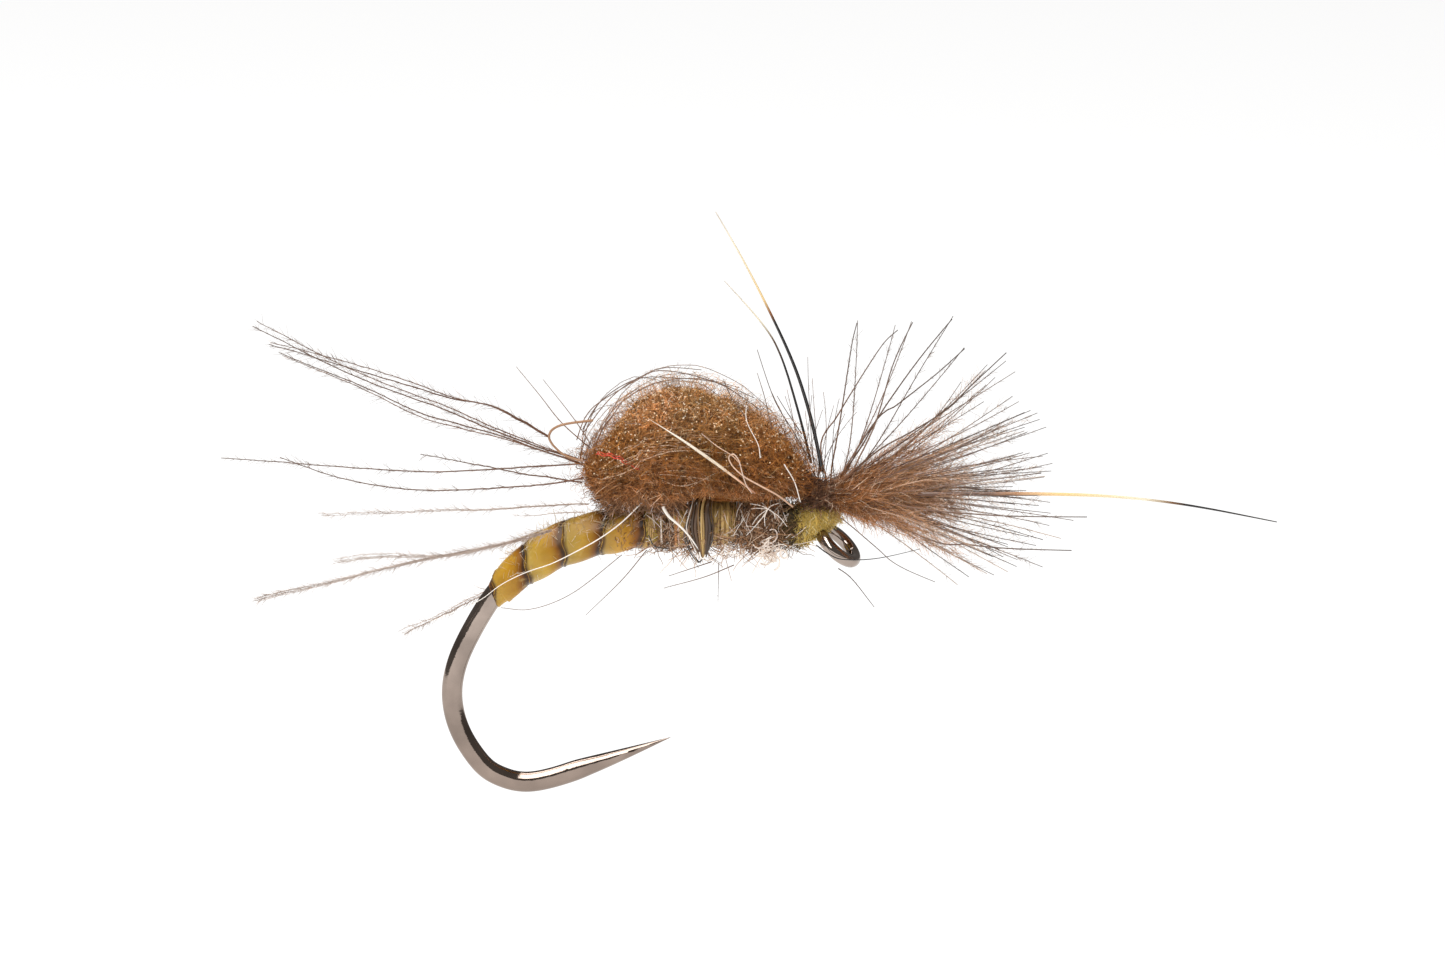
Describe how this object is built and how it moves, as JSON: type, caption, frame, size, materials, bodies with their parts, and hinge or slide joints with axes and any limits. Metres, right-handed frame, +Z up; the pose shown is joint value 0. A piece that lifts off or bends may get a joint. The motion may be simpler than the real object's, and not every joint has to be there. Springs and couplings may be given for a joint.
{
  "type": "dry fly",
  "caption": "Fishing fly: curved barbless hook with ribbed yellow abdomen, humped brown feather back, flared feather wing over the eye, trailing feather legs and guard hairs.",
  "frame": {"origin": "centre of the hook eye", "axes": "+X along the shank, from the bend to the eye and the wing's tips; +Z up, away from the hook point; the hook lies in the XZ plane"},
  "size_m": [0.0279, 0.005, 0.0157],
  "materials": {
    "hook_steel": "polished black nickel over steel wire",
    "thread_yellow": "yellow waxed tying thread with loose fuzz",
    "thread_olive": "dark olive tying thread",
    "biot_yellow": "waxy translucent yellow-olive quill strip",
    "biot_edge": "dark brown edge of the quill strip",
    "quill_tan": "olive-tan wound strands",
    "dubbing_brown": "fuzzy purplish-brown dubbing",
    "gloss_dark": "dark glossy fibre",
    "fibre_pale": "silver-white glossy hair",
    "feather_brown": "soft brown-grey dun feather barbs",
    "feather_dome": "packed chestnut-brown dun feather fibres",
    "stem_brown": "kinked brown feather stem",
    "guard_hair": "smooth guard hair, black and golden",
    "quill_pale": "cream quill shading to pink-orange",
    "fibre_red": "red dyed fibre"
  },
  "bodies": {
    "root": {"hook": "hook_steel", "shank_thread": "thread_yellow", "abdomen": "biot_yellow", "abdomen_rib": "biot_edge", "thorax_base": "thread_yellow", "thorax_wraps": "quill_tan", "thorax_dubbing": "dubbing_brown", "tie_in_collar": "thread_olive", "thread_head": "thread_yellow", "leaf_loop": "gloss_dark", "leaf_blade": "quill_tan", "silver_strand": "fibre_pale", "dark_loop": "gloss_dark", "curl_rear": "fibre_pale", "curl_front": "fibre_pale", "bubble_back": "feather_dome", "arch_fibre_1": "feather_brown", "arch_fibre_2": "feather_brown", "arch_fibre_3": "feather_brown", "arch_fibre_4": "feather_brown", "stem_loop": "stem_brown", "leg_upper_1": "feather_brown", "leg_upper_2": "feather_brown", "leg_upper_3": "feather_brown", "leg_middle_1": "feather_brown", "leg_middle_2": "feather_brown", "leg_middle_3": "feather_brown", "leg_low_1": "feather_brown", "leg_low_2": "feather_brown", "leg_under_1": "feather_brown", "leg_under_2": "feather_brown", "leg_rear": "feather_brown", "wing_feather_1": "feather_brown", "wing_feather_2": "feather_brown", "wing_feather_3": "feather_brown", "wing_feather_4": "feather_brown", "barb_1": "feather_brown", "barb_2": "feather_brown", "barb_3": "feather_brown", "barb_4": "feather_brown", "barb_5": "feather_brown", "barb_6": "feather_brown", "barb_7": "feather_brown", "barb_8": "feather_brown", "guard_hair_1": "guard_hair", "guard_hair_2": "guard_hair", "guard_hair_front": "guard_hair", "hair_white": "fibre_pale", "hair_eye_1": "feather_brown", "hair_eye_2": "feather_brown", "hair_eye_3": "feather_brown", "hair_thin_1": "feather_brown", "hair_thin_2": "feather_brown", "pale_quill": "quill_pale", "tan_hair": "quill_pale", "red_fibre": "fibre_red"}
  },
  "joints": []
}
